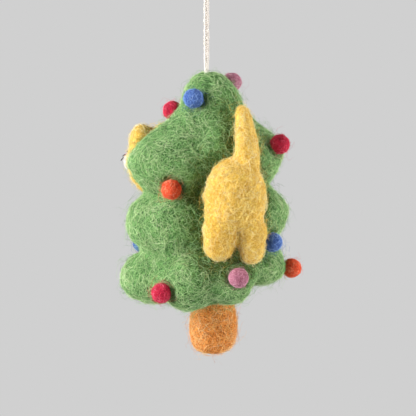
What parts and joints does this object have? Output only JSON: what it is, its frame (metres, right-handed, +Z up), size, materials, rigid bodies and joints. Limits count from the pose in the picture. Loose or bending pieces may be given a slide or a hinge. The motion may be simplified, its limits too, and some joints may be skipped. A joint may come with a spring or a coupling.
{
  "type": "felt tree ornament",
  "caption": "Hanging needle-felted wool ornament: a lobed tree with a trunk, felt balls and a cat going through it, on a loop of cotton cord.",
  "frame": {"origin": "where the cord loop hangs, under the top of its arch", "axes": "+Z up along the cord; -Y towards the cat's face; +X to the cat's left"},
  "size_m": [0.0725, 0.0727, 0.1592],
  "materials": {
    "wool_green": "matte",
    "wool_brown": "matte",
    "wool_yellow": "matte",
    "wool_white": "matte",
    "wool_pink": "matte",
    "wool_undyed": "matte",
    "wool_blue": "matte",
    "wool_mauve": "matte",
    "wool_crimson": "matte",
    "wool_orange": "matte",
    "thread_black": "matte",
    "bead_black": "gloss",
    "cotton_cord": "matte"
  },
  "bodies": {
    "hanging_loop": {"hanging_loop": "cotton_cord"},
    "tree": {"ball_10_mauve": "wool_mauve", "ball_11_orange": "wool_orange", "ball_12_orange": "wool_orange", "ball_13_mauve": "wool_mauve", "ball_14_crimson": "wool_crimson", "ball_15_crimson": "wool_crimson", "ball_16_mauve": "wool_mauve", "ball_1_blue": "wool_blue", "ball_2_mauve": "wool_mauve", "ball_3_crimson": "wool_crimson", "ball_4_orange": "wool_orange", "ball_5_crimson": "wool_crimson", "ball_6_blue": "wool_blue", "ball_7_orange": "wool_orange", "ball_8_blue": "wool_blue", "ball_9_blue": "wool_blue", "bottom_tier": "wool_green", "cat_ear_left": "wool_yellow", "cat_ear_right": "wool_yellow", "cat_eye_left": "bead_black", "cat_eye_right": "bead_black", "cat_head": "wool_yellow", "cat_hind_leg_left": "wool_yellow", "cat_hind_leg_right": "wool_yellow", "cat_muzzle": "wool_white", "cat_nose": "wool_pink", "cat_rump": "wool_yellow", "cat_tail": "wool_yellow", "loop_knot": "cotton_cord", "middle_tier": "wool_green", "top_tier": "wool_green", "trunk": "wool_brown", "whisker_left_1": "thread_black", "whisker_left_2": "thread_black", "whisker_left_3": "thread_black", "whisker_right_1": "thread_black", "whisker_right_2": "thread_black", "whisker_right_3": "thread_black", "wool_core": "wool_undyed"}
  },
  "joints": [
    {"name": "tree_swing", "type": "hinge", "parent": "hanging_loop", "child": "tree", "pos_m": [0, 0, -0.046], "axis": [-0.5, 0.866, 0], "range_deg": [-90, 90]}
  ]
}
